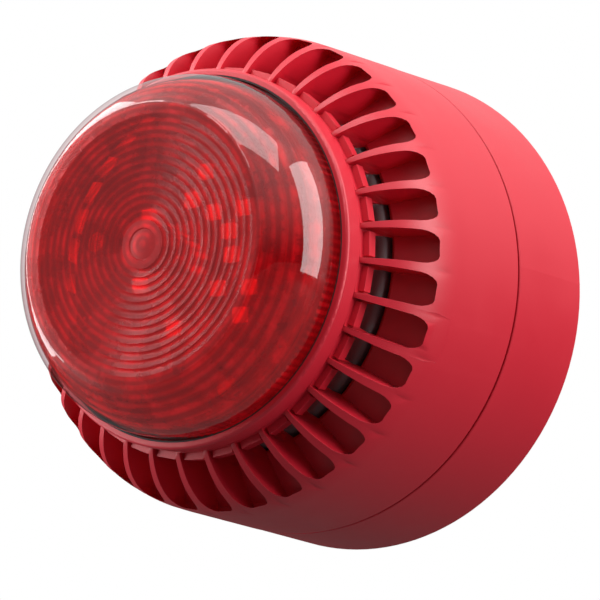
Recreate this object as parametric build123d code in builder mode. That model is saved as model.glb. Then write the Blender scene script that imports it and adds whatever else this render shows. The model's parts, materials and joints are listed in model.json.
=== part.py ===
"""Wall sounder-beacon for a fire alarm, "horn strobe".

A shallow wall base takes the wiring and the wall screws.  The round head twists
onto it by a three-lug bayonet.  The head holds the sounder (piezo disc in an acoustic
drum behind a ring of slots) and, in front of it, an LED beacon under a red lens.

Millimetres.  The object's axis is Y: the wall is the plane y = 0, the lens looks
along -Y, and +Z is up.  "Depth" is the distance from the wall towards the front.
"""
import os
from math import cos, radians, sin

from build123d import *

# ---------------------------------------------------------------- driving dimensions
REAR_R = 49.0            # outside radius of the base at the wall
SEAM_DEPTH = 22.3        # middle of the joint line between base and head
SEAM_R = 47.5            # outside radius at the joint line
SEAM_GAP = 0.7           # shadow gap between base and head
SEAM_EDGE = 0.15         # small chamfers on both sides of that gap
SHOULDER_DEPTH = 43.5    # where the head's straight side turns into its shoulder
SHOULDER_R = 46.1        # outside radius there
SHOULDER_ARC = 17.1      # radius of the shoulder's rounding
COLLAR_R = 35.5          # outside radius of the collar that carries the lens
COLLAR_TOP = 59.2        # depth of the top of the collar
RIB_BOTTOM = 51.2        # depth of the rear edges of the ribs between the slots
WALL = 2.4               # wall thickness of the red mouldings
FLOOR = 2.5              # thickness of the base's floor
BASE_BORE_R = 45.2       # inside radius of the base's rim
SLOTS = 36               # sound slots round the shoulder
SLOT_OUTER_R = 45.4      # outer end of a slot
SLOT_FLOOR = 46.0        # depth where the slots' outer ends stop
SLOT_INNER_WIDTH = 5.3
SLOT_OUTER_WIDTH = 6.0
SLOT_PHASE = -1.6        # angle of the first slot, from +X towards +Z
DISC_TOP = 77.0          # depth of the lens's flat front
DISC_R = 26.2            # radius of that flat front
LENS_R = 33.9            # outside radius of the lens at the bezel
LENS_SHOULDER_DEPTH = 64.8
LENS_SHOULDER_R = 33.6
LENS_WALL = 1.2
SKIRT_OUTER_R = 43.4     # head's spigot that enters the base
SKIRT_INNER_R = 41.4
SKIRT_REAR = 13.0
LUG_R = 44.9             # outside radius of the bayonet lugs
LUG_ANGLES = (30, 150, 270)
LUG_SPAN = 20
LEDGE_R = 43.7           # inside radius of the base's ledges
CHASSIS_REAR = 22.6
CHASSIS_FRONT = 24.6
PCB_REAR = 27.0
PCB_THICKNESS = 1.6
PLATE_REAR = 36.0        # plate that carries the piezo disc
PLATE_FRONT = 38.0
DRUM_R = 35.2
DRUM_TOP = 50.5
BEACON_REAR = 56.0       # rear face of the beacon's circuit board

BOARD_FRONT = PCB_REAR + PCB_THICKNESS
BEACON_FRONT = BEACON_REAR + PCB_THICKNESS

# A sketch on PROFILE has the radius as its x and the depth as its y.
PROFILE = Plane(origin=(0, 0, 0), x_dir=(1, 0, 0), z_dir=(0, 0, -1))


def front(depth, x=0.0, z=0.0):
    """A plane that faces out of the front, at a depth; its x is +X and its y is +Z."""
    return Plane(origin=(x, -depth, z), x_dir=(1, 0, 0), z_dir=(0, -1, 0))


def save(piece, name):
    """Label a finished piece and write it as its own file."""
    piece.part.label = name
    export_step(piece.part, f"parts/{name}.step")


def turned(outline):
    """A round piece: a closed outline of (radius, depth) points turned about the axis."""
    with BuildPart() as piece:
        with BuildSketch(PROFILE):
            with BuildLine():
                Polyline(*outline, close=True)
            make_face()
        revolve(axis=Axis.Y)
    return piece


def blocks(places, width, height, low, high, corner=0.0):
    """Equal rectangular solids standing between two depths, at (x, z) places."""
    with BuildPart() as piece:
        with BuildSketch(front(low)):
            with Locations(*places):
                Rectangle(width, height)
        extrude(amount=high - low)
        if corner:
            fillet(piece.edges().filter_by(Axis.Y), corner)
    return piece


def studs(places, radius, low, high, edge=0.0):
    """Equal round solids standing between two depths, at (x, z) places."""
    with BuildPart() as piece:
        with BuildSketch(front(low)):
            with Locations(*places):
                Circle(radius)
        extrude(amount=high - low)
        if edge:
            fillet(piece.edges().filter_by(GeomType.CIRCLE).group_by(Axis.Y)[0], edge)
    return piece


def polar(radius, angle):
    """The (x, z) place at a radius and an angle from +X towards +Z."""
    return (radius * cos(radians(angle)), radius * sin(radians(angle)))


def sector(depth, inner, outer, start, end, height):
    """A solid ring sector between two radii and two angles, from a depth forwards."""
    with BuildPart() as piece:
        with BuildSketch(front(depth)):
            with BuildLine():
                CenterArc((0, 0), outer, start, end - start)
                Line(polar(outer, end), polar(inner, end))
                CenterArc((0, 0), inner, end, start - end)
                Line(polar(inner, start), polar(outer, start))
            make_face()
        extrude(amount=height)
    return piece


os.makedirs("parts", exist_ok=True)

# ---------------------------------------------------------------- wall base
CABLE_R = 10.0
FIXING_SPACING = 60.0
FIXING_R = 2.2
FIXING_SLOT = 9.0
GASKET_OUTER = 45.0
GASKET_INNER = 41.0
GASKET_DEPTH = 1.2
LUG_REAR = 14.0
LUG_FRONT = 16.0
LEDGE_REAR = 16.2
LEDGE_FRONT = 18.2
STOP_REAR = 13.5
LEDGE_START = -13.5      # angles of a ledge and its stops, from its lug's middle
LEDGE_END = 12
LOCKED_STOP_END = -10.5
OPEN_STOP_START = 36
OPEN_STOP_END = 39
RIB_RADIUS = 37.5        # floor ribs
RIB_LENGTH = 15.2
RIB_WIDTH = 1.6
RIB_HEIGHT = 3.0
RIM_EDGE = 0.3           # small chamfers on the visible rims
LOCK_ANGLE = 205
LOCK_DEPTH = 11.5
LOCK_R = 1.5
base_rim = SEAM_DEPTH - SEAM_GAP / 2
ledge_root = BASE_BORE_R + 0.5

with BuildPart() as wall_base:
    with BuildSketch(PROFILE):
        with BuildLine():
            Polyline(
                (0, 0), (REAR_R - RIM_EDGE, 0), (REAR_R, RIM_EDGE), (SEAM_R, base_rim - SEAM_EDGE),
                (SEAM_R - SEAM_EDGE, base_rim), (BASE_BORE_R, base_rim), (BASE_BORE_R, FLOOR),
                (0, FLOOR), close=True,
            )
        make_face()
    revolve(axis=Axis.Y)
    # groove for the wall gasket
    with BuildSketch(front(0)):
        Circle(GASKET_OUTER)
        Circle(GASKET_INNER, mode=Mode.SUBTRACT)
    extrude(amount=GASKET_DEPTH, mode=Mode.SUBTRACT)
    # cable entry and the two slotted fixing holes
    with BuildSketch(front(0)):
        Circle(CABLE_R)
        with Locations((-FIXING_SPACING / 2, 0), (FIXING_SPACING / 2, 0)):
            SlotOverall(FIXING_SLOT, 2 * FIXING_R)
    extrude(amount=FLOOR, mode=Mode.SUBTRACT)
    # ledges that hold the head's lugs, each with a stop at its locked and open ends
    for angle in LUG_ANGLES:
        for rear, height, start, end in (
            (LEDGE_REAR, LEDGE_FRONT - LEDGE_REAR, LEDGE_START, LEDGE_END),
            (STOP_REAR, LEDGE_REAR - STOP_REAR, LEDGE_START, LOCKED_STOP_END),
            (STOP_REAR, LEDGE_FRONT - STOP_REAR, OPEN_STOP_START, OPEN_STOP_END),
        ):
            add(sector(rear, LEDGE_R, ledge_root, angle + start, angle + end, height).part)
    # floor ribs between the fixings and the rim
    with BuildSketch(front(FLOOR)):
        with PolarLocations(RIB_RADIUS, 8, start_angle=22.5):
            Rectangle(RIB_LENGTH, RIB_WIDTH)
    extrude(amount=RIB_HEIGHT)
    # tapped hole of the locking screw, through the side
    lock_dir = (cos(radians(LOCK_ANGLE)), 0, sin(radians(LOCK_ANGLE)))
    lock_plane = Plane(origin=(0, -LOCK_DEPTH, 0), x_dir=(0, -1, 0), z_dir=lock_dir)
    with BuildSketch(lock_plane.offset(43.5)):
        Circle(LOCK_R)
    extrude(amount=8, mode=Mode.SUBTRACT)
save(wall_base, "wall_base")

wall_gasket = turned([
    (GASKET_INNER, 0), (GASKET_OUTER, 0), (GASKET_OUTER, GASKET_DEPTH), (GASKET_INNER, GASKET_DEPTH),
])
save(wall_gasket, "wall_gasket")

# ---------------------------------------------------------------- locking screw
LOCK_CLEARANCE = 0.05
with BuildPart() as lock_screw:
    with BuildSketch(lock_plane.offset(44.3)):
        Circle(LOCK_R - LOCK_CLEARANCE)
    extrude(amount=3.9)
    chamfer(lock_screw.edges().filter_by(GeomType.CIRCLE), 0.35)
    with BuildSketch(lock_plane.offset(48.2)):
        RegularPolygon(0.8, 6)
    extrude(amount=-1.8, mode=Mode.SUBTRACT)
save(lock_screw, "lock_screw")

# ---------------------------------------------------------------- terminals in the base
WAYS = 8
WAY_PITCH = 5.0
BLOCK_Z = 17.5
BLOCK_DEEP = 9.0
BLOCK_FRONT = 13.0
WIRE_LOW = 4.0
WIRE_HIGH = 8.0
way_x = [(way - (WAYS - 1) / 2) * WAY_PITCH for way in range(WAYS)]
block_face = BLOCK_Z - BLOCK_DEEP / 2

with BuildPart() as terminal_block:
    with BuildSketch(front(FLOOR, z=BLOCK_Z)):
        Rectangle(WAYS * WAY_PITCH, BLOCK_DEEP)
    extrude(amount=BLOCK_FRONT - FLOOR)
    chamfer(terminal_block.edges().group_by(Axis.Y)[0], 0.4)
    # a wire mouth in the lower face of each way
    with BuildSketch(Plane(origin=(0, 0, block_face), x_dir=(1, 0, 0), z_dir=(0, 0, 1))):
        with Locations(*[(x, -(WIRE_LOW + WIRE_HIGH) / 2) for x in way_x]):
            Rectangle(3.6, WIRE_HIGH - WIRE_LOW)
    extrude(amount=7, mode=Mode.SUBTRACT)
    # a screwdriver well over each way
    with BuildSketch(front(WIRE_HIGH)):
        with Locations(*[(x, BLOCK_Z) for x in way_x]):
            Circle(1.8)
    extrude(amount=BLOCK_FRONT - WIRE_HIGH, mode=Mode.SUBTRACT)
save(terminal_block, "terminal_block")

with BuildPart() as terminal_clamps:
    with BuildSketch(front(WIRE_LOW)):
        with Locations(*[(x, BLOCK_Z) for x in way_x]):
            Rectangle(3.5, 4.4)
    extrude(amount=WIRE_HIGH - WIRE_LOW)
    with BuildSketch(Plane(origin=(0, 0, block_face), x_dir=(1, 0, 0), z_dir=(0, 0, 1))):
        with Locations(*[(x, -(WIRE_LOW + WIRE_HIGH) / 2) for x in way_x]):
            Rectangle(2.5, 2.6)
    extrude(amount=BLOCK_DEEP, mode=Mode.SUBTRACT)
save(terminal_clamps, "terminal_clamps")

with BuildPart() as terminal_screws:
    with BuildSketch(front(WIRE_HIGH)):
        with Locations(*[(x, BLOCK_Z) for x in way_x]):
            Circle(1.7)
    extrude(amount=3.0)
    with BuildSketch(front(WIRE_HIGH + 3.0)):
        with Locations(*[(x, BLOCK_Z) for x in way_x]):
            Rectangle(3.6, 0.6)
    extrude(amount=-1.0, mode=Mode.SUBTRACT)
save(terminal_screws, "terminal_screws")

# ---------------------------------------------------------------- contacts, base to head
CONTACT_X = (-15.0, -5.0, 5.0, 15.0)
CONTACT_Z = -20.0
CARRIER_FRONT = 16.0
BLADE_REAR = 22.2

with BuildPart() as contact_carrier:
    with BuildSketch(front(FLOOR, z=CONTACT_Z)):
        Rectangle(40, 8)
    extrude(amount=CARRIER_FRONT - FLOOR)
    fillet(contact_carrier.edges().filter_by(Axis.Y), 1.2)
    with BuildSketch(front(CARRIER_FRONT)):
        with Locations(*[(x, CONTACT_Z) for x in CONTACT_X]):
            Rectangle(5.2, 6)
    extrude(amount=-2.0, mode=Mode.SUBTRACT)
save(contact_carrier, "contact_carrier")

with BuildPart() as contact_springs:
    for x in CONTACT_X:
        # side view of one bowed leaf: local x is +Z, local y is the depth
        side = Plane(origin=(x - 2, 0, CONTACT_Z), x_dir=(0, 0, 1), z_dir=(1, 0, 0))
        with BuildSketch(side):
            with BuildLine():
                FilletPolyline(
                    (-2.6, 14.2), (-2.6, 18.5), (0, 21.8), (2.6, 18.5), (2.6, 16.6), radius=0.9
                )
            trace(line_width=0.4)
        extrude(amount=4)
save(contact_springs, "contact_springs")

# ---------------------------------------------------------------- rear chassis of the head
POST_RADIUS = 33.0       # pillars that carry the sounder plate
POST_ANGLES = (60, 180, 300)
BOSS_RADIUS = 39.3       # bosses inside the shell that take the chassis screws
BOSS_ANGLES = (0, 120, 240)
BOSS_R = 2.6
BOSS_FRONT = 34.5
SCREW_R = 1.25
SCREW_HOLE_R = 1.3
RING_R = 0.9             # section of the O-ring
RING_CENTRE_R = 43.95
RING_DEPTH = 20.4
DIP_X = -10.0
DIP_Z = 12.0
DIP_WAYS = 5
DIP_PITCH = 2.54
POT_PLACE = (12.0, 13.0)
post_places = [polar(POST_RADIUS, angle) for angle in POST_ANGLES]
boss_places = [polar(BOSS_RADIUS, angle) for angle in BOSS_ANGLES]
dip_x = [DIP_X + (way - (DIP_WAYS - 1) / 2) * DIP_PITCH for way in range(DIP_WAYS)]

with BuildPart() as rear_chassis:
    with BuildSketch(PROFILE):
        with BuildLine():
            Polyline(
                (0, CHASSIS_REAR), (SKIRT_INNER_R, CHASSIS_REAR), (SKIRT_INNER_R, SKIRT_REAR),
                (SKIRT_OUTER_R - 0.4, SKIRT_REAR), (SKIRT_OUTER_R, SKIRT_REAR + 0.4),
                (SKIRT_OUTER_R, RING_DEPTH - 1), (43.0, RING_DEPTH - 1), (43.0, RING_DEPTH + 1),
                (SKIRT_OUTER_R, RING_DEPTH + 1), (SKIRT_OUTER_R, CHASSIS_REAR),
                (44.7, CHASSIS_REAR), (44.7, CHASSIS_FRONT), (0, CHASSIS_FRONT), close=True,
            )
        make_face()
    revolve(axis=Axis.Y)
    for angle in LUG_ANGLES:
        start = angle - LUG_SPAN / 2
        lug = sector(LUG_REAR, SKIRT_OUTER_R - 0.4, LUG_R, start, start + LUG_SPAN, LUG_FRONT - LUG_REAR)
        add(lug.part)
    # pillars for the circuit board and the sounder plate
    with BuildSketch(front(CHASSIS_FRONT)):
        with Locations(*post_places):
            Circle(4.0)
    extrude(amount=PCB_REAR - CHASSIS_FRONT)
    with BuildSketch(front(PCB_REAR)):
        with Locations(*post_places):
            Circle(2.6)
    extrude(amount=PLATE_REAR - PCB_REAR)
    with BuildSketch(front(PLATE_REAR)):
        with Locations(*post_places):
            Circle(SCREW_HOLE_R)
    extrude(amount=-8, mode=Mode.SUBTRACT)
    # countersunk holes for the screws that close the head
    with BuildSketch(front(CHASSIS_REAR)):
        with Locations(*boss_places):
            Circle(SCREW_HOLE_R)
    extrude(amount=CHASSIS_FRONT - CHASSIS_REAR, mode=Mode.SUBTRACT)
    # windows for the settings, and slits for the contact blades
    with BuildSketch(front(CHASSIS_REAR)):
        with Locations((DIP_X, DIP_Z)):
            RectangleRounded(15, 7.2, 0.8)
        with Locations(POT_PLACE):
            Circle(3.6)
        with Locations(*[(x, CONTACT_Z) for x in CONTACT_X]):
            Rectangle(2.2, 0.8)
    extrude(amount=CHASSIS_FRONT - CHASSIS_REAR, mode=Mode.SUBTRACT)
    # notch that the locking screw enters
    with BuildSketch(lock_plane.offset(40)):
        with Locations((SKIRT_REAR - LOCK_DEPTH, 0)):
            Circle(1.8)
    extrude(amount=5, mode=Mode.SUBTRACT)
save(rear_chassis, "rear_chassis")

with BuildPart() as chassis_seal:
    with BuildSketch(PROFILE):
        with Locations((RING_CENTRE_R, RING_DEPTH)):
            Circle(RING_R)
    revolve(axis=Axis.Y)
save(chassis_seal, "chassis_seal")

# contact blades: a flat pad for each leaf to press on, and a tail up to the board
with BuildPart() as contact_blades:
    with BuildSketch(front(BLADE_REAR)):
        with Locations(*[(x, CONTACT_Z) for x in CONTACT_X]):
            RectangleRounded(7.0, 9.0, 1.0)
    extrude(amount=CHASSIS_REAR - BLADE_REAR)
    with BuildSketch(front(CHASSIS_REAR)):
        with Locations(*[(x, CONTACT_Z) for x in CONTACT_X]):
            Rectangle(2.0, 0.6)
    extrude(amount=BOARD_FRONT + 0.8 - CHASSIS_REAR)
save(contact_blades, "contact_blades")

# ---------------------------------------------------------------- red shell of the head
SHOULDER_CENTRE_R = SHOULDER_R - SHOULDER_ARC
SHELL_REAR = SEAM_DEPTH + SEAM_GAP / 2
COLLAR_OUTER = COLLAR_R + 0.3
COLLAR_INNER = 33.6
SHELL_BORE_R = 45.0       # inside radius of the shell's rear end
INNER_ARC = SHOULDER_ARC - WALL
COLLAR_REAR = 56.0        # rear edge of the collar between the ribs
COLLAR_GAP = 4.6
FOOT_WIDTH = 4.4
FOOT_TOP = 58.2
FOOT_R = 36.8
SHELF_R = 36.0           # opening of the sloping shelf that is the floor of the slots
SHELF_TOP = 49.4
SHELF_WALL_R = SHOULDER_CENTRE_R + INNER_ARC
SHELF_OUTER_R = SLOT_OUTER_R - 1.1
SHELF_LIP = 0.6
SHELF_THICK = 1.6


def arc_depth(radius, arc):
    """Depth at a radius on a shoulder arc about the shoulder's centre."""
    return SHOULDER_DEPTH + (arc**2 - (radius - SHOULDER_CENTRE_R) ** 2) ** 0.5


def arc_point(turn, arc):
    """A point on a shoulder arc, turned up from the straight side."""
    return (
        SHOULDER_CENTRE_R + arc * cos(radians(turn)),
        SHOULDER_DEPTH + arc * sin(radians(turn)),
    )


with BuildPart() as slot_cutter:
    with BuildSketch(front(COLLAR_TOP + 1)) as slot_face:
        with BuildLine():
            Polyline(
                (COLLAR_R, -SLOT_INNER_WIDTH / 2), (SLOT_OUTER_R, -SLOT_OUTER_WIDTH / 2),
                (SLOT_OUTER_R, SLOT_OUTER_WIDTH / 2), (COLLAR_R, SLOT_INNER_WIDTH / 2), close=True,
            )
        make_face()
        fillet(slot_face.vertices().group_by(Axis.X)[-1], 1.6)
    extrude(amount=SLOT_FLOOR - COLLAR_TOP - 1)

with BuildPart() as head_shell:
    with BuildSketch(PROFILE):
        with BuildLine():
            Polyline(
                (SHELL_BORE_R, SHELL_REAR), (SEAM_R - SEAM_EDGE, SHELL_REAR),
                (SEAM_R, SHELL_REAR + SEAM_EDGE), (SHOULDER_R, SHOULDER_DEPTH),
            )
            ThreePointArc(
                (SHOULDER_R, SHOULDER_DEPTH), arc_point(33, SHOULDER_ARC),
                (COLLAR_OUTER, arc_depth(COLLAR_OUTER, SHOULDER_ARC)),
            )
            Polyline(
                (COLLAR_OUTER, arc_depth(COLLAR_OUTER, SHOULDER_ARC)), (COLLAR_R, COLLAR_TOP),
                (COLLAR_INNER, COLLAR_TOP), (COLLAR_INNER, RIB_BOTTOM), (SHELF_R, RIB_BOTTOM),
                (SHELF_R, SHELF_TOP - SHELF_THICK), (SHELF_WALL_R, SHOULDER_DEPTH),
                (SHELL_BORE_R, SHELL_REAR),
            )
        make_face()
    revolve(axis=Axis.Y)
    # the ring of sound slots
    for slot in range(SLOTS):
        turn = SLOT_PHASE + slot * 360 / SLOTS
        add(slot_cutter.part.rotate(Axis.Y, -turn), mode=Mode.SUBTRACT)
    # between the ribs the collar is shallow, so the ribs hang free of it
    with BuildSketch(front(COLLAR_REAR)):
        with PolarLocations((COLLAR_INNER + COLLAR_R) / 2, SLOTS, start_angle=SLOT_PHASE):
            Rectangle(COLLAR_R - COLLAR_INNER + 0.8, COLLAR_GAP)
    extrude(amount=RIB_BOTTOM - COLLAR_REAR, mode=Mode.SUBTRACT)
    # sloping floor of the slots, which turns the sound outwards
    with BuildSketch(PROFILE):
        with BuildLine():
            Polyline(
                (SHELF_WALL_R, SHOULDER_DEPTH), (SHELF_OUTER_R, SHOULDER_DEPTH),
                (SHELF_OUTER_R, SLOT_FLOOR), (SHELF_R + SHELF_LIP, SHELF_TOP),
                (SHELF_R, SHELF_TOP - SHELF_LIP), (SHELF_R, SHELF_TOP - SHELF_THICK), close=True,
            )
        make_face()
    revolve(axis=Axis.Y)
    # feet on the collar, one in each slot
    with BuildSketch(front(COLLAR_REAR + 0.2)):
        with PolarLocations((COLLAR_R - 0.3 + FOOT_R) / 2, SLOTS, start_angle=SLOT_PHASE):
            Rectangle(FOOT_R - COLLAR_R + 0.3, FOOT_WIDTH)
    extrude(amount=FOOT_TOP - COLLAR_REAR - 0.2)
    # bosses for the chassis screws, each joined to the wall by a web
    with BuildSketch(front(CHASSIS_FRONT)):
        with Locations(*boss_places):
            Circle(BOSS_R)
        with PolarLocations((BOSS_RADIUS + 45) / 2, len(BOSS_ANGLES)):
            Rectangle(45 - BOSS_RADIUS, 1.6)
    extrude(amount=BOSS_FRONT - CHASSIS_FRONT)
    with BuildSketch(front(CHASSIS_FRONT)):
        with Locations(*boss_places):
            Circle(SCREW_HOLE_R)
    extrude(amount=BOSS_FRONT - CHASSIS_FRONT - 1.0, mode=Mode.SUBTRACT)
save(head_shell, "head_shell")


with BuildPart() as chassis_screws:
    with BuildSketch(front(CHASSIS_REAR)):
        with Locations(*boss_places):
            Circle(SCREW_R)
    extrude(amount=9)
    with BuildSketch(front(CHASSIS_REAR)):
        with Locations(*boss_places):
            Circle(1.9)
    extrude(amount=-1.2)
    fillet(chassis_screws.edges().filter_by(GeomType.CIRCLE).group_by(Axis.Y)[-1], 0.4)
    with BuildSketch(front(CHASSIS_REAR - 1.2)):
        with Locations(*boss_places):
            Rectangle(2.2, 0.5)
            Rectangle(0.5, 2.2)
    extrude(amount=0.7, mode=Mode.SUBTRACT)
save(chassis_screws, "chassis_screws")

# ---------------------------------------------------------------- main circuit board
BOARD_R = 42.0
CAPACITORS = ((20.0, -8.0), (20.0, 1.0))
CHIPS = ((-8.0, -4.0), (3.0, 24.0))
RISER_PLACE = (-27.0, -8.0)
RISER_PITCH = 1.5
RISER_PINS = 4
PIEZO_PIN_PLACES = ((8.0, 0.0), (-17.5, 0.0))
riser_places = [(RISER_PLACE[0] + pin * RISER_PITCH, RISER_PLACE[1]) for pin in range(RISER_PINS)]

with BuildPart() as sounder_board:
    with BuildSketch(front(PCB_REAR)):
        Circle(BOARD_R)
        with Locations(*post_places):
            Circle(2.7, mode=Mode.SUBTRACT)
        with Locations(*boss_places):
            Circle(BOSS_R + 0.4, mode=Mode.SUBTRACT)
        with PolarLocations((BOSS_RADIUS + 45) / 2, len(BOSS_ANGLES)):
            Rectangle(45 - BOSS_RADIUS, 2.4, mode=Mode.SUBTRACT)
        with Locations(*[(x, CONTACT_Z) for x in CONTACT_X]):
            Rectangle(2.2, 0.8, mode=Mode.SUBTRACT)
        with Locations(*riser_places):
            Circle(0.4, mode=Mode.SUBTRACT)
    extrude(amount=PCB_THICKNESS)
save(sounder_board, "sounder_board")

with BuildPart() as capacitors:
    with BuildSketch(front(BOARD_FRONT)):
        with Locations(*CAPACITORS):
            Circle(4.0)
    extrude(amount=6.9)
    fillet(capacitors.edges().filter_by(GeomType.CIRCLE).group_by(Axis.Y)[0], 0.6)
save(capacitors, "capacitors")

save(blocks(CHIPS, 9.0, 7.0, BOARD_FRONT, BOARD_FRONT + 1.8, corner=0.2), "logic_chips")

small_parts = [polar(29, angle) for angle in range(95, 170, 9)]
small_parts += [(-8 + 4 * step, -12) for step in range(5)]
save(blocks(small_parts, 2.0, 1.3, BOARD_FRONT, BOARD_FRONT + 0.7), "surface_mount_parts")

with BuildPart() as transformer:
    with BuildSketch(front(BOARD_FRONT)):
        with Locations((3, 11)):
            RectangleRounded(10, 9, 1)
    extrude(amount=1.2)
    with BuildSketch(front(BOARD_FRONT + 1.2)):
        with Locations((3, 11)):
            Circle(3.6)
    extrude(amount=3.6)
    with BuildSketch(front(BOARD_FRONT + 4.8)):
        with Locations((3, 11)):
            RectangleRounded(10, 9, 1)
    extrude(amount=1.2)
save(transformer, "transformer")

# ---------------------------------------------------------------- settings reached from behind
DIP_REAR = 23.2
SLIDER_REAR = 22.9
SLIDER_WIDTH = 1.2
SLIDER_LENGTH = 1.3
SLIDER_TRAVEL = 1.2
SLIDER_GAP = 0.1
POT_REAR = 23.4
ROTOR_REAR = 22.9
ROTOR_R = 2.2
ROTOR_GAP = 0.08

with BuildPart() as tone_switch_body:
    with BuildSketch(front(DIP_REAR, DIP_X, DIP_Z)):
        RectangleRounded(14.2, 6.4, 0.3)
    extrude(amount=PCB_REAR - DIP_REAR)
    with BuildSketch(front(DIP_REAR)):
        with Locations(*[(x, DIP_Z) for x in dip_x]):
            Rectangle(SLIDER_WIDTH + 2 * SLIDER_GAP, SLIDER_LENGTH + SLIDER_TRAVEL + 2 * SLIDER_GAP)
    extrude(amount=1.3, mode=Mode.SUBTRACT)
save(tone_switch_body, "tone_switch_body")

for way, x in enumerate(dip_x, start=1):
    with BuildPart() as tone_slider:
        with BuildSketch(front(SLIDER_REAR, x, DIP_Z - SLIDER_TRAVEL / 2)):
            Rectangle(SLIDER_WIDTH, SLIDER_LENGTH)
        extrude(amount=DIP_REAR + 1.2 - SLIDER_REAR)
        chamfer(tone_slider.edges().group_by(Axis.Y)[-1], 0.12)
    save(tone_slider, f"tone_slider_{way}")

with BuildPart() as volume_body:
    with BuildSketch(front(POT_REAR)):
        with Locations(POT_PLACE):
            Circle(3.4)
    extrude(amount=PCB_REAR - POT_REAR)
    with BuildSketch(front(POT_REAR)):
        with Locations(POT_PLACE):
            Circle(ROTOR_R + ROTOR_GAP)
    extrude(amount=2.2, mode=Mode.SUBTRACT)
save(volume_body, "volume_body")

with BuildPart() as volume_rotor:
    with BuildSketch(front(ROTOR_REAR)):
        with Locations(POT_PLACE):
            Circle(ROTOR_R)
    extrude(amount=POT_REAR + 2.1 - ROTOR_REAR)
    fillet(volume_rotor.edges().group_by(Axis.Y)[-1], 0.25)
    with BuildSketch(front(ROTOR_REAR)):
        with Locations(POT_PLACE):
            Rectangle(3.0, 0.7)
            with Locations((0, 0.9)):
                Rectangle(0.7, 1.2)
    extrude(amount=0.9, mode=Mode.SUBTRACT)
save(volume_rotor, "volume_rotor")

# ---------------------------------------------------------------- sounder
PLATE_R = 42.4
PIEZO_R = 20.5
PIEZO_REAR = 42.0
DRUM_WALL = 1.8
DRUM_FOOT_R = 41.6       # thicker lower part of the drum
DRUM_STEP = 44.0
DRUM_PORTS = 12
DRUM_EDGE = 1.4
DRUM_BORE_R = 35.6       # bore of the foot, clear of the plate screws
PLATE_HEAD_R = 2.1

with BuildPart() as sounder_plate:
    with BuildSketch(front(PLATE_REAR)):
        Circle(PLATE_R)
        with Locations(*post_places):
            Circle(SCREW_HOLE_R, mode=Mode.SUBTRACT)
        with Locations(*riser_places):
            Circle(0.6, mode=Mode.SUBTRACT)
        with Locations(*PIEZO_PIN_PLACES):
            Circle(0.8, mode=Mode.SUBTRACT)
    extrude(amount=PLATE_FRONT - PLATE_REAR)
    # ring that the piezo disc rests on
    with BuildSketch(front(PLATE_FRONT)):
        Circle(PIEZO_R + 1.5)
        Circle(PIEZO_R - 1.5, mode=Mode.SUBTRACT)
    extrude(amount=PIEZO_REAR - PLATE_FRONT)
save(sounder_plate, "sounder_plate")

with BuildPart() as plate_screws:
    with BuildSketch(front(PLATE_FRONT)):
        with Locations(*post_places):
            Circle(PLATE_HEAD_R)
    extrude(amount=1.4)
    fillet(plate_screws.edges().filter_by(GeomType.CIRCLE).group_by(Axis.Y)[0], 0.5)
    with BuildSketch(front(PLATE_FRONT - 9)):
        with Locations(*post_places):
            Circle(SCREW_R)
    extrude(amount=9)
    with BuildSketch(front(PLATE_FRONT + 0.7)):
        with Locations(*post_places):
            Rectangle(2.6, 0.6)
            Rectangle(0.6, 2.6)
    extrude(amount=0.8, mode=Mode.SUBTRACT)
save(plate_screws, "plate_screws")

save(studs([(0, 0)], PIEZO_R, PIEZO_REAR, PIEZO_REAR + 0.3), "piezo_disc")
save(studs([(0, 0)], 14.5, PIEZO_REAR + 0.3, PIEZO_REAR + 0.55), "piezo_ceramic")
piezo_clamp = turned([
    (PIEZO_R - 1.5, PIEZO_REAR + 0.3), (PIEZO_R + 1.5, PIEZO_REAR + 0.3),
    (PIEZO_R + 1.5, PIEZO_REAR + 1.8), (PIEZO_R - 1.0, PIEZO_REAR + 1.8),
])
save(piezo_clamp, "piezo_clamp")
save(studs(PIEZO_PIN_PLACES, 0.5, BOARD_FRONT, PIEZO_REAR), "piezo_pins")

with BuildPart() as acoustic_drum:
    with BuildSketch(PROFILE):
        with BuildLine():
            Polyline(
                (DRUM_BORE_R, PLATE_FRONT), (DRUM_FOOT_R, PLATE_FRONT),
                (DRUM_FOOT_R, DRUM_STEP), (DRUM_R, DRUM_STEP + 1), (DRUM_R, DRUM_TOP - DRUM_EDGE)
            )
            RadiusArc((DRUM_R, DRUM_TOP - DRUM_EDGE), (DRUM_R - DRUM_EDGE, DRUM_TOP), -DRUM_EDGE)
            Polyline(
                (DRUM_R - DRUM_EDGE, DRUM_TOP), (0, DRUM_TOP), (0, DRUM_TOP - DRUM_WALL),
                (DRUM_R - DRUM_WALL, DRUM_TOP - DRUM_WALL), (DRUM_R - DRUM_WALL, DRUM_STEP - 1),
                (DRUM_BORE_R, DRUM_STEP - 2), (DRUM_BORE_R, PLATE_FRONT),
            )
        make_face()
    revolve(axis=Axis.Y)
    # ports that let the sound out to the slots
    with BuildSketch(front(40.0)):
        with PolarLocations(DRUM_R + 2, DRUM_PORTS, start_angle=15):
            Rectangle(12, 3.6)
    extrude(amount=8, mode=Mode.SUBTRACT)
    with BuildSketch(front(DRUM_TOP)):
        with Locations(*riser_places):
            Circle(0.6)
    extrude(amount=-DRUM_WALL, mode=Mode.SUBTRACT)
save(acoustic_drum, "acoustic_drum")

# ---------------------------------------------------------------- beacon
BEACON_R = 30.0
BEACON_POSTS = (45, 165, 285)
BEACON_POST_RADIUS = 25.0
REFLECTOR_TOP = 72.0
LED_PLACES = (
    (3, 9), (6.5, 5), (9.5, 9), (7, 0.5), (4, -5.5), (11, -6), (-2, 12), (1, 17), (-6, -12),
    (9, -11), (-12, 10), (-14, -3),
)
beacon_posts = [polar(BEACON_POST_RADIUS, angle) for angle in BEACON_POSTS]

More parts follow.
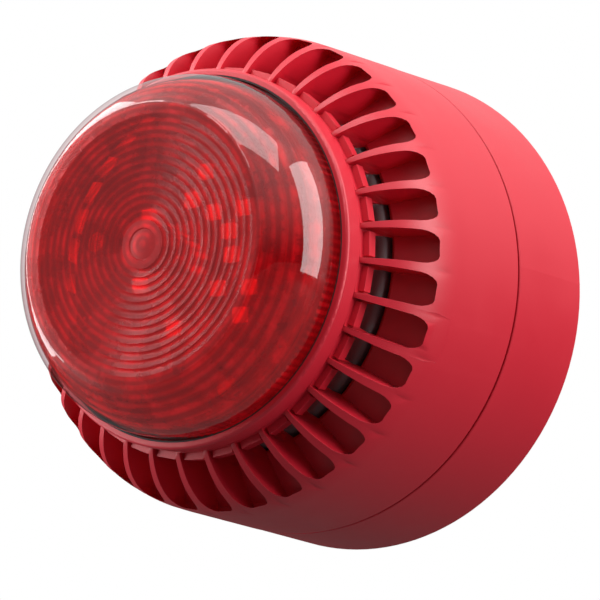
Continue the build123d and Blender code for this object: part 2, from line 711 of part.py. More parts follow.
save(studs(beacon_posts, 2.5, DRUM_TOP, BEACON_REAR), "beacon_posts")

with BuildPart() as beacon_board:
    with BuildSketch(front(BEACON_REAR)):
        Circle(BEACON_R)
        with Locations(*riser_places):
            Circle(0.4, mode=Mode.SUBTRACT)
        with Locations(*beacon_posts):
            Circle(SCREW_HOLE_R, mode=Mode.SUBTRACT)
    extrude(amount=PCB_THICKNESS)
save(beacon_board, "beacon_board")

with BuildPart() as beacon_screws:
    with BuildSketch(front(BEACON_FRONT)):
        with Locations(*beacon_posts):
            Circle(2.2)
    extrude(amount=1.3)
    fillet(beacon_screws.edges().filter_by(GeomType.CIRCLE).group_by(Axis.Y)[0], 0.5)
    with BuildSketch(front(BEACON_REAR)):
        with Locations(*beacon_posts):
            Circle(SCREW_R)
    extrude(amount=PCB_THICKNESS)
save(beacon_screws, "beacon_screws")

save(studs(riser_places, 0.32, BOARD_FRONT - PCB_THICKNESS, BEACON_FRONT + 0.9), "riser_pins")

with BuildPart() as led_packages:
    with BuildSketch(front(BEACON_FRONT)):
        with Locations(*LED_PLACES):
            RectangleRounded(2.8, 2.8, 0.2)
    extrude(amount=1.1)
    with BuildSketch(front(BEACON_FRONT + 1.1)):
        with Locations(*LED_PLACES):
            Circle(1.05)
    extrude(amount=-0.3, mode=Mode.SUBTRACT)
save(led_packages, "led_packages")

with BuildPart() as beacon_reflector:
    with BuildSketch(PROFILE):
        with BuildLine():
            Polyline(
                (2.8, BEACON_FRONT), (3.6, BEACON_FRONT), (5.2, REFLECTOR_TOP), (4.6, REFLECTOR_TOP),
                close=True,
            )
        make_face()
    revolve(axis=Axis.Y)
save(beacon_reflector, "beacon_reflector")

with BuildPart() as centre_led:
    with BuildSketch(front(BEACON_FRONT)):
        RectangleRounded(3.4, 3.4, 0.3)
    extrude(amount=1.0)
    with BuildSketch(PROFILE):
        with BuildLine():
            RadiusArc((1.3, BEACON_FRONT + 1.0), (0, BEACON_FRONT + 2.3), -1.3)
            Polyline((0, BEACON_FRONT + 2.3), (0, BEACON_FRONT + 1.0), (1.3, BEACON_FRONT + 1.0))
        make_face()
    revolve(axis=Axis.Y)
save(centre_led, "centre_led")

with BuildPart() as beacon_capacitor:
    with BuildSketch(front(BEACON_FRONT)):
        with Locations((-9, 19)):
            Circle(3.2)
    extrude(amount=7)
    fillet(beacon_capacitor.edges().filter_by(GeomType.CIRCLE).group_by(Axis.Y)[0], 0.5)
save(beacon_capacitor, "beacon_capacitor")
save(blocks([(13, 13), (17, 2)], 5.0, 4.4, BEACON_FRONT, BEACON_FRONT + 1.5, corner=0.2), "beacon_chips")
beacon_places = [
    (22, -2), (22, 1), (20, -10), (18, -14), (-18, 6), (-19, 1), (-5, -20), (0, -21), (5, -20), (9, 23),
]
save(blocks(beacon_places, 2.0, 1.2, BEACON_FRONT, BEACON_FRONT + 0.7), "beacon_smalls")

# ---------------------------------------------------------------- lens, seal and bezel
FLANGE_R = 34.9
FLANGE_REAR = 59.4
FLANGE_FRONT = 60.9
BEZEL_TOP = 63.2
BEZEL_INNER = 34.25
LENS_ARC = 13.4
GROOVES = 13
GROOVE_PITCH = 1.5
GROOVE_START = 4.5
GROOVE_DEEP = 0.35
INNER_GAP = 0.3

with BuildPart() as lens_bezel:
    with BuildSketch(PROFILE):
        with BuildLine():
            Polyline(
                (FLANGE_R + 0.1, COLLAR_TOP), (COLLAR_R, COLLAR_TOP), (COLLAR_R, BEZEL_TOP - 0.6)
            )
            RadiusArc((COLLAR_R, BEZEL_TOP - 0.6), (COLLAR_R - 0.6, BEZEL_TOP), -0.6)
            Polyline(
                (COLLAR_R - 0.6, BEZEL_TOP), (BEZEL_INNER, BEZEL_TOP), (BEZEL_INNER, FLANGE_FRONT + 0.1),
                (FLANGE_R + 0.1, FLANGE_FRONT + 0.1), (FLANGE_R + 0.1, COLLAR_TOP),
            )
        make_face()
    revolve(axis=Axis.Y)
save(lens_bezel, "lens_bezel")

lens_seal = turned([
    (LENS_R + 0.03, FLANGE_FRONT + 0.1), (BEZEL_INNER, FLANGE_FRONT + 0.1),
    (BEZEL_INNER, BEZEL_TOP - 0.1), (LENS_R + 0.03, BEZEL_TOP - 0.1),
])
save(lens_seal, "lens_seal")


def lens_outline(inset):
    """Outer side of a lens layer: its wall, its shoulder and the edge of its front disc."""
    centre_r = LENS_SHOULDER_R - LENS_ARC
    disc_edge = DISC_R - inset / 2
    top = LENS_SHOULDER_DEPTH + ((LENS_ARC - inset) ** 2 - (disc_edge - centre_r) ** 2) ** 0.5
    middle = (
        centre_r + (LENS_ARC - inset) * cos(radians(45)),
        LENS_SHOULDER_DEPTH + (LENS_ARC - inset) * sin(radians(45)),
    )
    return (LENS_SHOULDER_R - inset, LENS_SHOULDER_DEPTH), middle, (disc_edge, top)


with BuildPart() as lens_cover:
    with BuildSketch(PROFILE):
        start, middle, edge = lens_outline(0)
        rear, inner_middle, inner_edge = lens_outline(LENS_WALL)
        with BuildLine():
            Polyline(
                (LENS_R - LENS_WALL, FLANGE_REAR), (FLANGE_R, FLANGE_REAR), (FLANGE_R, FLANGE_FRONT),
                (LENS_R, FLANGE_FRONT), start,
            )
            ThreePointArc(start, middle, edge)
            Polyline(
                edge, (edge[0] - 0.2, DISC_TOP), (0, DISC_TOP), (0, DISC_TOP - LENS_WALL),
                (inner_edge[0], DISC_TOP - LENS_WALL), inner_edge,
            )
            ThreePointArc(inner_edge, inner_middle, rear)
            Line(rear, (LENS_R - LENS_WALL, FLANGE_REAR))
        make_face()
    revolve(axis=Axis.Y)
save(lens_cover, "lens_cover")

with BuildPart() as inner_lens:
    with BuildSketch(PROFILE):
        start, middle, edge = lens_outline(LENS_WALL + INNER_GAP)
        rear, inner_middle, inner_edge = lens_outline(2 * LENS_WALL + INNER_GAP)
        disc_top = DISC_TOP - LENS_WALL - INNER_GAP
        steps = []
        for ring in range(GROOVES, 0, -1):
            peak_r = GROOVE_START + ring * GROOVE_PITCH
            steps += [(peak_r, disc_top), (peak_r - GROOVE_PITCH + 0.1, disc_top - GROOVE_DEEP)]
        with BuildLine():
            Line((LENS_R - LENS_WALL - INNER_GAP, COLLAR_TOP), start)
            ThreePointArc(start, middle, edge)
            Polyline(
                edge, *steps, (GROOVE_START, disc_top), (0, disc_top),
                (0, disc_top - LENS_WALL), (inner_edge[0], disc_top - LENS_WALL), inner_edge,
            )
            ThreePointArc(inner_edge, inner_middle, rear)
            Polyline(
                rear, (LENS_R - 2 * LENS_WALL - INNER_GAP, COLLAR_TOP),
                (LENS_R - LENS_WALL - INNER_GAP, COLLAR_TOP),
            )
        make_face()
    revolve(axis=Axis.Y)
save(inner_lens, "inner_lens")
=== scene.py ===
# %% [markdown]
# # A wall sounder with an LED beacon
#
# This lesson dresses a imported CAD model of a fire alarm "horn strobe".  The CAD gives
# every part its place and motion.  Here the parts that the eye rests on, which are the
# red mouldings, the lens and what shows through it, are modelled again with finer
# edges, and everything gets a material.  The object's axis is Y: the wall is at y = 0
# and the lens looks along -Y.  "Depth" means the distance from the wall.

# %% Load the frame
import json
from math import atan2, cos, pi, radians, sin, sqrt

import bmesh
import bpy
from mathutils import Matrix, Vector


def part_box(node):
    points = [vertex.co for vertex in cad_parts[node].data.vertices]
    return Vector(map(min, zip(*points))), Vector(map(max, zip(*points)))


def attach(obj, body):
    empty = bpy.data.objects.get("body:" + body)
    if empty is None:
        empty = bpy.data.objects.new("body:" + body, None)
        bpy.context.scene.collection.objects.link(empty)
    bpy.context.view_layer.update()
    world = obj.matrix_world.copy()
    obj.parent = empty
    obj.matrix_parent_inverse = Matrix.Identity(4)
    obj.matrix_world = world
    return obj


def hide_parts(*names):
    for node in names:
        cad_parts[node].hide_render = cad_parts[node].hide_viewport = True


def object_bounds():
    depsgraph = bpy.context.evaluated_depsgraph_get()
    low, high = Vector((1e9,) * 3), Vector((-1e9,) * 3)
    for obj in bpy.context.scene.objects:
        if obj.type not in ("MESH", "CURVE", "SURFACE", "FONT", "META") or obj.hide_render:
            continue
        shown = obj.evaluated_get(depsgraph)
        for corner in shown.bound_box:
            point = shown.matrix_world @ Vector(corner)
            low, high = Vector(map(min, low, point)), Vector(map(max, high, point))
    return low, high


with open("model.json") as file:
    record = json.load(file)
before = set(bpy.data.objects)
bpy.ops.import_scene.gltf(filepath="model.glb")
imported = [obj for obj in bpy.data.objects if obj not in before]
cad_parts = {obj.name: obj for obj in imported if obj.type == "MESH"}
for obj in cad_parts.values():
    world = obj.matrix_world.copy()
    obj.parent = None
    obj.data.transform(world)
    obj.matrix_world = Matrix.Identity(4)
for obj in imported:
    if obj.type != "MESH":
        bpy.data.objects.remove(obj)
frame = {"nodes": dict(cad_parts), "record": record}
cad_low, cad_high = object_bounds()
MM = 0.001
print("CAD box in mm:", [round(side / MM, 1) for side in cad_high - cad_low])

# %% [markdown]
# ## Camera
#
# The camera looks up at the object from a little below and from its right, so the lens
# leads and the base trails away.  It is set by its direction and its distance from the
# wall face's centre, then aimed a little off that centre to place the object in view.

# %% Make the camera
AZIMUTH = radians(33.42)
ELEVATION = radians(-11.14)
DISTANCE = 0.4734
AIM_RIGHT = -0.0136
AIM_UP = 0.00225
LENS_MM = 138.0

back = Vector((sin(AZIMUTH) * cos(ELEVATION), -cos(AZIMUTH) * cos(ELEVATION), sin(ELEVATION)))
right = Vector((cos(AZIMUTH), sin(AZIMUTH), 0))
up = back.cross(right)
camera_data = bpy.data.cameras.new("camera")
camera_data.lens = LENS_MM
camera_data.clip_start = 0.01
camera = bpy.data.objects.new("camera", camera_data)
camera.location = back * DISTANCE + right * AIM_RIGHT + up * AIM_UP
camera.rotation_mode = "QUATERNION"
camera.rotation_quaternion = (-back).to_track_quat("-Z", "Y")
bpy.context.scene.collection.objects.link(camera)
bpy.context.scene.camera = camera
print("camera at", [round(value, 4) for value in camera.location])

# %% [markdown]
# ## Studio
#
# The camera sees a white surround.  Every other ray sees one that is bright overhead and
# nearly black below, which keeps the lower side dark.  A dark floor well below sends
# little light back.  Three soft boxes do the rest: one at the right, one above the lens,
# and one at the left that lights the lens's far shoulder.

# %% Floor, surround and lights
FLOOR_DROP = 0.34
FLOOR_SIZE = 6.0
FLOOR_TONE = 0.07
SKY_LOW, SKY_HIGH = -0.08, 0.8
SKY_DIM, SKY_BRIGHT = 0.010, 0.95

scene = bpy.context.scene
scene.view_settings.view_transform = "Standard"

floor_mesh = bpy.data.meshes.new("studio_floor")
shape = bmesh.new()
bmesh.ops.create_grid(shape, x_segments=4, y_segments=4, size=FLOOR_SIZE / 2)
bmesh.ops.translate(shape, verts=shape.verts, vec=(0, 0, -FLOOR_DROP))
shape.to_mesh(floor_mesh)
shape.free()
floor_finish = bpy.data.materials.new("floor_grey")
floor_finish.use_nodes = True
floor_shader = floor_finish.node_tree.nodes["Principled BSDF"]
floor_shader.inputs["Base Color"].default_value = (FLOOR_TONE, FLOOR_TONE, FLOOR_TONE, 1)
floor_shader.inputs["Roughness"].default_value = 0.9
floor_mesh.materials.append(floor_finish)
studio_floor = bpy.data.objects.new("studio_floor", floor_mesh)
scene.collection.objects.link(studio_floor)

world = bpy.data.worlds.new("white_surround")
scene.world = world
world.use_nodes = True
nodes = world.node_tree.nodes
links = world.node_tree.links
nodes.clear()
seen = nodes.new("ShaderNodeBackground")
seen.inputs["Color"].default_value = (1, 1, 1, 1)
seen.inputs["Strength"].default_value = 1.0
lighting = nodes.new("ShaderNodeBackground")
lighting.inputs["Color"].default_value = (1, 0.99, 0.985, 1)
way = nodes.new("ShaderNodeTexCoord")
split = nodes.new("ShaderNodeSeparateXYZ")
links.new(way.outputs["Generated"], split.inputs[0])
climb = nodes.new("ShaderNodeMapRange")
climb.interpolation_type = "SMOOTHSTEP"
climb.inputs["From Min"].default_value = SKY_LOW
climb.inputs["From Max"].default_value = SKY_HIGH
climb.inputs["To Min"].default_value = SKY_DIM
climb.inputs["To Max"].default_value = SKY_BRIGHT
links.new(split.outputs["Z"], climb.inputs["Value"])
links.new(climb.outputs["Result"], lighting.inputs["Strength"])
ray = nodes.new("ShaderNodeLightPath")
pick = nodes.new("ShaderNodeMixShader")
world_out = nodes.new("ShaderNodeOutputWorld")
links.new(ray.outputs["Is Camera Ray"], pick.inputs[0])
links.new(lighting.outputs[0], pick.inputs[1])
links.new(seen.outputs[0], pick.inputs[2])
links.new(pick.outputs[0], world_out.inputs["Surface"])

middle = (cad_low + cad_high) / 2


def soft_box(name, azimuth, elevation, distance, width, height, power):
    """A rectangular area light aimed at the object's middle."""
    data = bpy.data.lights.new(name, "AREA")
    data.shape = "RECTANGLE"
    data.size = width
    data.size_y = height
    data.energy = power
    a, e = radians(azimuth), radians(elevation)
    way = Vector((sin(a) * cos(e), -cos(a) * cos(e), sin(e)))
    light = bpy.data.objects.new(name, data)
    light.location = middle + way * distance
    light.rotation_mode = "QUATERNION"
    light.rotation_quaternion = (-way).to_track_quat("-Z", "Y")
    scene.collection.objects.link(light)
    return light


soft_box("key", 101, 18, 1.1, 0.7, 1.2, 13.5)
soft_box("top", 22, 58, 1.0, 1.0, 0.45, 5.0)
soft_box("left_strip", -66, 20, 1.0, 0.9, 1.2, 20.0)
print("lights made")

# %% [markdown]
# ## Node groups
#
# Some effects are used again and again, so each is a group made once: the fine grain and
# the slow drift of tone of moulded plastic, its rubbed edges, and the dust that settles
# on it.

# %% Helpers for node groups


def new_group(name, inputs, outputs):
    """A shader node group; inputs are (name, default), outputs are (name, socket type)."""
    tree = bpy.data.node_groups.new(name, "ShaderNodeTree")
    for label, default in inputs:
        kind = "NodeSocketColor" if isinstance(default, tuple) else "NodeSocketFloat"
        socket = tree.interface.new_socket(label, in_out="INPUT", socket_type=kind)
        socket.default_value = default
    for label, kind in outputs:
        tree.interface.new_socket(label, in_out="OUTPUT", socket_type=kind)
    return tree, tree.nodes.new("NodeGroupInput"), tree.nodes.new("NodeGroupOutput")


def noise(tree, vector, scale, detail=3.0, rough=0.55):
    """A noise texture on a vector; returns its factor."""
    node = tree.nodes.new("ShaderNodeTexNoise")
    node.inputs["Detail"].default_value = detail
    node.inputs["Roughness"].default_value = rough
    if isinstance(scale, float):
        node.inputs["Scale"].default_value = scale
    else:
        tree.links.new(scale, node.inputs["Scale"])
    tree.links.new(vector, node.inputs["Vector"])
    return node.outputs["Factor" if "Factor" in node.outputs else "Fac"]


def math(tree, operation, a, b=0.0):
    """A math node; each value is a number or a socket."""
    node = tree.nodes.new("ShaderNodeMath")
    node.operation = operation
    for socket, value in zip(node.inputs, (a, b)):
        if isinstance(value, (int, float)):
            socket.default_value = value
        else:
            tree.links.new(value, socket)
    return node.outputs[0]


def mix(tree, factor, a, b):
    """A mix node for colours; a and b are colours or sockets."""
    node = tree.nodes.new("ShaderNodeMix")
    node.data_type = "RGBA"
    sockets = [socket for socket in node.inputs if socket.type == "RGBA"]
    for socket, value in zip([node.inputs[0]] + sockets, (factor, a, b)):
        if isinstance(value, (int, float, tuple)):
            socket.default_value = value
        else:
            tree.links.new(value, socket)
    return [socket for socket in node.outputs if socket.type == "RGBA"][0]


def spread(tree, value, low, high, to_low, to_high):
    """A clamped map range on a value."""
    node = tree.nodes.new("ShaderNodeMapRange")
    tree.links.new(value, node.inputs["Value"])
    for label, number in zip(("From Min", "From Max", "To Min", "To Max"), (low, high, to_low, to_high)):
        if isinstance(number, (int, float)):
            node.inputs[label].default_value = number
        else:
            tree.links.new(number, node.inputs[label])
    return node.outputs["Result"]


# %% The three groups
def make_grain():
    """Moulded grain: a fine height, and a slow drift for colour and roughness."""
    tree, start, end = new_group(
        "moulded_grain",
        [("Grain scale", 5200.0), ("Drift scale", 38.0)],
        [("Height", "NodeSocketFloat"), ("Drift", "NodeSocketFloat")],
    )
    place = tree.nodes.new("ShaderNodeTexCoord").outputs["Object"]
    fine = noise(tree, place, start.outputs["Grain scale"], detail=2.0)
    slow = noise(tree, place, start.outputs["Drift scale"], detail=4.0)
    tree.links.new(fine, end.inputs["Height"])
    tree.links.new(slow, end.inputs["Drift"])
    return tree


def make_wear():
    """Edge wear: a mask that is bright on rubbed convex edges, broken up by noise."""
    tree, start, end = new_group(
        "edge_wear",
        [("Amount", 0.5), ("Break up scale", 900.0)],
        [("Mask", "NodeSocketFloat")],
    )
    point = tree.nodes.new("ShaderNodeNewGeometry").outputs["Pointiness"]
    place = tree.nodes.new("ShaderNodeTexCoord").outputs["Object"]
    patchy = noise(tree, place, start.outputs["Break up scale"], detail=4.0)
    edge = spread(tree, point, 0.53, 0.62, 0.0, 1.0)
    mask = math(tree, "MULTIPLY", edge, spread(tree, patchy, 0.35, 0.7, 0.2, 1.0))
    tree.links.new(math(tree, "MULTIPLY", mask, start.outputs["Amount"]), end.inputs["Mask"])
    return tree


def make_dust():
    """Dust: a mask that is strongest on faces that look up, in soft patches."""
    tree, start, end = new_group(
        "settled_dust",
        [("Amount", 0.3), ("Patch scale", 160.0)],
        [("Mask", "NodeSocketFloat")],
    )
    geometry = tree.nodes.new("ShaderNodeNewGeometry")
    split = tree.nodes.new("ShaderNodeSeparateXYZ")
    tree.links.new(geometry.outputs["Normal"], split.inputs[0])
    place = tree.nodes.new("ShaderNodeTexCoord").outputs["Object"]
    patchy = noise(tree, place, start.outputs["Patch scale"], detail=5.0)
    upward = spread(tree, split.outputs["Z"], 0.2, 1.0, 0.0, 1.0)
    mask = math(tree, "MULTIPLY", upward, spread(tree, patchy, 0.4, 0.75, 0.0, 1.0))
    tree.links.new(math(tree, "MULTIPLY", mask, start.outputs["Amount"]), end.inputs["Mask"])
    return tree


GRAIN, WEAR, DUST = make_grain(), make_wear(), make_dust()


def use_group(tree, group, **values):
    """Places a group in a material and sets its inputs; underscores stand for spaces."""
    node = tree.nodes.new("ShaderNodeGroup")
    node.node_tree = group
    for label, value in values.items():
        node.inputs[label.replace("_", " ")].default_value = value
    return node


print("node groups:", [group.name for group in bpy.data.node_groups])

# %% [markdown]
# ## Plastic and metal finishes
#
# Every solid finish has the same bones: a colour that drifts a little, a roughness that
# drifts with it, paler rubbed edges, a little dust on top and a fine grain in the bump.
# One function builds them all from a few values, so each finish is one call.

# %% The solid finish
DUST_COLOUR = (0.62, 0.58, 0.55, 1)
GRAIN_DEPTH = 0.0002


def solid(
    name, colour, roughness, metal=0.0, drift=0.12, grain=0.02, grain_scale=5200.0,
    wear=0.25, dust=0.08, coat=0.0, spec=0.5, glow=0.0,
):
    """A moulded, painted or plated finish made of grain, drift, wear and dust."""
    material = bpy.data.materials.new(name)
    material.use_nodes = True
    tree = material.node_tree
    tree.nodes.clear()
    out = tree.nodes.new("ShaderNodeOutputMaterial")
    surface = tree.nodes.new("ShaderNodeBsdfPrincipled")
    tree.links.new(surface.outputs[0], out.inputs["Surface"])
    grain_node = use_group(tree, GRAIN, Grain_scale=grain_scale)
    wear_node = use_group(tree, WEAR, Amount=wear)
    dust_node = use_group(tree, DUST, Amount=dust)
    darker = tuple(channel * (1 - drift) for channel in colour) + (1,)
    lighter = tuple(min(1.0, channel * (1 + drift)) for channel in colour) + (1,)
    rubbed = tuple(min(1.0, channel * 1.25 + 0.03) for channel in colour) + (1,)
    tone = mix(tree, grain_node.outputs["Drift"], darker, lighter)
    tone = mix(tree, wear_node.outputs["Mask"], tone, rubbed)
    tone = mix(tree, dust_node.outputs["Mask"], tone, DUST_COLOUR)
    tree.links.new(tone, surface.inputs["Base Color"])
    rough = spread(tree, grain_node.outputs["Drift"], 0.3, 0.7, roughness * 0.88, roughness * 1.12)
    rough = math(tree, "ADD", rough, math(tree, "MULTIPLY", dust_node.outputs["Mask"], 0.35))
    tree.links.new(rough, surface.inputs["Roughness"])
    surface.inputs["Metallic"].default_value = metal
    surface.inputs["Specular IOR Level"].default_value = spec
    surface.inputs["Coat Weight"].default_value = coat
    # A glow above zero is painted light: emission on a part that is no lamp.
    tree.links.new(tone, surface.inputs["Emission Color"])
    surface.inputs["Emission Strength"].default_value = glow
    bump = tree.nodes.new("ShaderNodeBump")
    bump.inputs["Strength"].default_value = grain
    bump.inputs["Distance"].default_value = GRAIN_DEPTH
    tree.links.new(grain_node.outputs["Height"], bump.inputs["Height"])
    tree.links.new(bump.outputs["Normal"], surface.inputs["Normal"])
    return material


FINISHES = {
    "red_plastic": solid(
        "red_plastic", (0.59, 0.008, 0.026), 0.42, grain=0.10, drift=0.05, wear=0.12, dust=0.03, spec=0.6,
    ),
    "dark_plastic": solid("dark_plastic", (0.035, 0.035, 0.038), 0.55, grain=0.25),
    "drum_grey": solid("drum_grey", (0.19, 0.17, 0.18), 0.5, grain=0.25),
    "rubber_black": solid(
        "rubber_black", (0.018, 0.018, 0.019), 0.7, grain=0.3, grain_scale=2600.0, wear=0.1,
    ),
    "foam": solid("foam", (0.05, 0.05, 0.052), 0.95, grain=1.0, grain_scale=1400.0, drift=0.3),
    "contact_brass": solid("contact_brass", (0.78, 0.58, 0.28), 0.28, metal=1.0, grain=0.15, drift=0.15),
    "zinc_steel": solid("zinc_steel", (0.62, 0.63, 0.64), 0.34, metal=1.0, grain=0.3, drift=0.1),
    "board_green": solid(
        "board_green", (0.015, 0.12, 0.045), 0.34, grain=0.3, grain_scale=1800.0, coat=0.3,
    ),
    "board_dark": solid("board_dark", (0.34, 0.31, 0.30), 0.4, grain=0.3, grain_scale=1800.0, coat=0.2),
    "chip_black": solid("chip_black", (0.02, 0.02, 0.021), 0.6, grain=0.5, grain_scale=3800.0),
    "capacitor_sleeve": solid("capacitor_sleeve", (0.03, 0.035, 0.09), 0.3, coat=0.4),
    "switch_blue": solid("switch_blue", (0.03, 0.09, 0.36), 0.38),
    "white_plastic": solid("white_plastic", (0.86, 0.86, 0.83), 0.35, drift=0.04),
    "terminal_grey": solid("terminal_grey", (0.36, 0.37, 0.38), 0.5, grain=0.2),
    "reflector": solid("reflector", (0.9, 0.9, 0.9), 0.2, metal=1.0, drift=0.05, wear=0.0, dust=0.0),
    # The LED packages' emission is a painted glow: it makes them look lit though they are not switched on.
    "led_phosphor_painted_glow": solid("led_phosphor_painted_glow", (0.9, 0.86, 0.72), 0.35, drift=0.03, dust=0.0, glow=0.7),
}
print("solid finishes:", len(FINISHES))

# %% [markdown]
# ## Clear and red lens
#
# The outer cover is clear polycarbonate: glossy, thin and almost colourless.  The inner
# lens is the same plastic dyed red.  Thin walls drawn as glass go nearly black after a
# few bends, so both mix a transparent shader with a gloss that grows towards grazing
# angles, which keeps the board and the LEDs behind them in sight.  Only the side that
# faces the eye takes the gloss.  The red layer carries painted light: bright and dark
# ring and flute bands and bright specks stand for the light its optics gather and bend,
# and an emission gives it a painted glow though no lamp shines behind it.

# %% Lens finishes


def make_ring_light():
    """Painted light of the optics: bright and dark rings round the axis in front, upright flutes at the
    side, glint patches and a bright centre.
    """
    tree, start, end = new_group(
        "painted_ring_light",
        [("Ring pitch", 0.0015), ("Flutes", 144.0), ("Side depth", 0.0645)],
        [("Rings", "NodeSocketFloat"), ("Sparkle", "NodeSocketFloat"), ("Centre", "NodeSocketFloat")],
    )
    place = tree.nodes.new("ShaderNodeTexCoord").outputs["Object"]
    split = tree.nodes.new("ShaderNodeSeparateXYZ")
    tree.links.new(place, split.inputs[0])
    x, y, z = split.outputs
    square = math(tree, "ADD", math(tree, "MULTIPLY", x, x), math(tree, "MULTIPLY", z, z))
    radius = math(tree, "POWER", square, 0.5)
    waves = math(tree, "DIVIDE", math(tree, "MULTIPLY", radius, 2 * pi), start.outputs["Ring pitch"])
    around = math(tree, "MULTIPLY", math(tree, "ARCTAN2", z, x), start.outputs["Flutes"])
    front = math(tree, "GREATER_THAN", math(tree, "MULTIPLY", y, -1.0), start.outputs["Side depth"])
    ring = math(tree, "MULTIPLY", math(tree, "SINE", waves), front)
    flute = math(tree, "MULTIPLY", math(tree, "SINE", around), math(tree, "SUBTRACT", 1.0, front))
    pattern = spread(tree, math(tree, "ADD", ring, flute), -0.7, 0.7, 0.0, 1.0)
    # Glint patches: painted bright specks where the optics would throw light.
    glint_noise = noise(tree, place, 210.0, detail=3.0, rough=0.6)
    tree.links.new(pattern, end.inputs["Rings"])
    # Centre: a painted bright spot round the axis.
    tree.links.new(spread(tree, radius, 0.0036, 0.0054, 1.0, 0.0), end.inputs["Centre"])
    tree.links.new(spread(tree, glint_noise, 0.38, 0.66, 0.0, 1.0), end.inputs["Sparkle"])
    return tree


RING_LIGHT = make_ring_light()


def lens_finish(
    name, tint, edge_tint, body, share, roughness, ior, speck, metal=0.0, glow=0.0, pattern=0.0,
):
    """A thin clear moulding: tinted see-through body, gloss on its near side, faint haze, and painted ring
    bands, glints and glow where pattern and glow are set.
    """
    material = bpy.data.materials.new(name)
    material.use_nodes = True
    tree = material.node_tree
    tree.nodes.clear()
    out = tree.nodes.new("ShaderNodeOutputMaterial")
    surface = tree.nodes.new("ShaderNodeBsdfPrincipled")
    rings = use_group(tree, RING_LIGHT)
    # Painted light and shade: the body colour is darker in the ring troughs and darker still away from the
    # glint patches.
    dark_body = tuple(channel * (1 - pattern) for channel in body) + (1,)
    tone = mix(tree, rings.outputs["Rings"], dark_body, body + (1,))
    tone = mix(tree, math(tree, "MULTIPLY", rings.outputs["Sparkle"], pattern), dark_body, tone)
    tree.links.new(tone, surface.inputs["Base Color"])
    tree.links.new(tone, surface.inputs["Emission Color"])
    surface.inputs["IOR"].default_value = ior
    surface.inputs["Metallic"].default_value = metal
    # Emission Strength is a painted glow: the moulding gives off light though it is no lamp.
    surface.inputs["Emission Strength"].default_value = glow
    # Painted glints: the glint patches and the bright centre raise the share of gloss and glow.
    sparkle = math(tree, "MULTIPLY", rings.outputs["Sparkle"], 0.5 * pattern)
    sparkle = math(tree, "ADD", math(tree, "MULTIPLY", rings.outputs["Centre"], pattern), sparkle)
    grain_node = use_group(tree, GRAIN, Grain_scale=1500.0, Drift_scale=60.0)
    haze = spread(tree, grain_node.outputs["Drift"], 0.3, 0.75, roughness, roughness + speck)
    tree.links.new(haze, surface.inputs["Roughness"])
    clear = tree.nodes.new("ShaderNodeBsdfTransparent")
    facing = tree.nodes.new("ShaderNodeLayerWeight")
    facing.inputs["Blend"].default_value = 0.35
    # Painted shade: the see-through tint is darker in the ring troughs.
    dark_tint = tuple(channel * (1 - 0.6 * pattern) for channel in tint) + (1,)
    through = mix(tree, rings.outputs["Rings"], dark_tint, tint + (1,))
    through = mix(tree, math(tree, "POWER", facing.outputs["Facing"], 2.0), through, edge_tint + (1,))
    tree.links.new(through, clear.inputs["Color"])
    blend = tree.nodes.new("ShaderNodeMixShader")
    fresnel = tree.nodes.new("ShaderNodeFresnel")
    fresnel.inputs["IOR"].default_value = ior
    near = math(tree, "SUBTRACT", 1.0, tree.nodes.new("ShaderNodeNewGeometry").outputs["Backfacing"])
    haze_and_glint_share = math(tree, "MULTIPLY", math(tree, "ADD", sparkle, 1.0), share)
    veil = math(tree, "ADD", math(tree, "MULTIPLY", fresnel.outputs[0], 1 - share), haze_and_glint_share)
    tree.links.new(math(tree, "MULTIPLY", math(tree, "MINIMUM", veil, 1.0), near), blend.inputs[0])
    tree.links.new(clear.outputs[0], blend.inputs[1])
    tree.links.new(surface.outputs[0], blend.inputs[2])
    tree.links.new(blend.outputs[0], out.inputs["Surface"])
    return material


FINISHES["lens_clear"] = lens_finish(
    "lens_clear", (0.98, 0.95, 0.95), (0.66, 0.44, 0.46), (0.95, 0.92, 0.92), 0.02, 0.03, 1.5, 0.02,
    metal=1.0,
)
# The red lens's glow and pattern are painted light: its ring bands, glints and emission stand for light its
# optics gather, though no lamp shines behind it.
FINISHES["lens_red"] = lens_finish(
    "lens_red", (0.98, 0.06, 0.07), (0.92, 0.03, 0.04), (0.98, 0.010, 0.020), 0.34, 0.22, 1.45, 0.05,
    glow=0.62, pattern=0.6,
)
# The LED lens's emission is a painted glow as well: the LEDs are not switched on.
FINISHES["led_lens"] = lens_finish(
    "led_lens", (0.95, 0.95, 0.9), (0.9, 0.9, 0.85), (0.9, 0.9, 0.8), 0.3, 0.1, 1.5, 0.05, glow=0.5,
)
print("finishes:", sorted(FINISHES))

# %% [markdown]
# ## Dress every CAD node
#
# The record names a material slot for each node.  Each node takes the finish of that
# name, so nothing is left with a plain colour.

# %% Finishes for the CAD nodes
SLOT_OF = {part["node"]: part["material_slot"] for part in frame["record"]["subparts"]}
for name, node in frame["nodes"].items():
    node.data.materials.clear()
    # The LED packages take the glowing finish, painted light, in place of their slot's finish.
    node.data.materials.append(FINISHES["led_phosphor_painted_glow" if name == "led_packages" else SLOT_OF[name]])
print("dressed", len(SLOT_OF), "nodes")

# %% [markdown]
# ## Turning a round piece
#
# Most of this object is round about one axis, so a piece is a short outline of (radius,
# depth) points, spun once round.  A rounded corner is a few outline points on an arc.
# Smooth shading by angle keeps the turned faces round and the steps crisp.

# %% Turning helper
WELD = 1e-6


def arc(centre, radius, start, end, steps):
    """Points on an arc in the (radius, depth) plane, angles in degrees from +radius."""
    points = []
    for step in range(steps + 1):
        angle = radians(start + (end - start) * step / steps)
        points.append((centre[0] + radius * cos(angle), centre[1] + radius * sin(angle)))
    return points


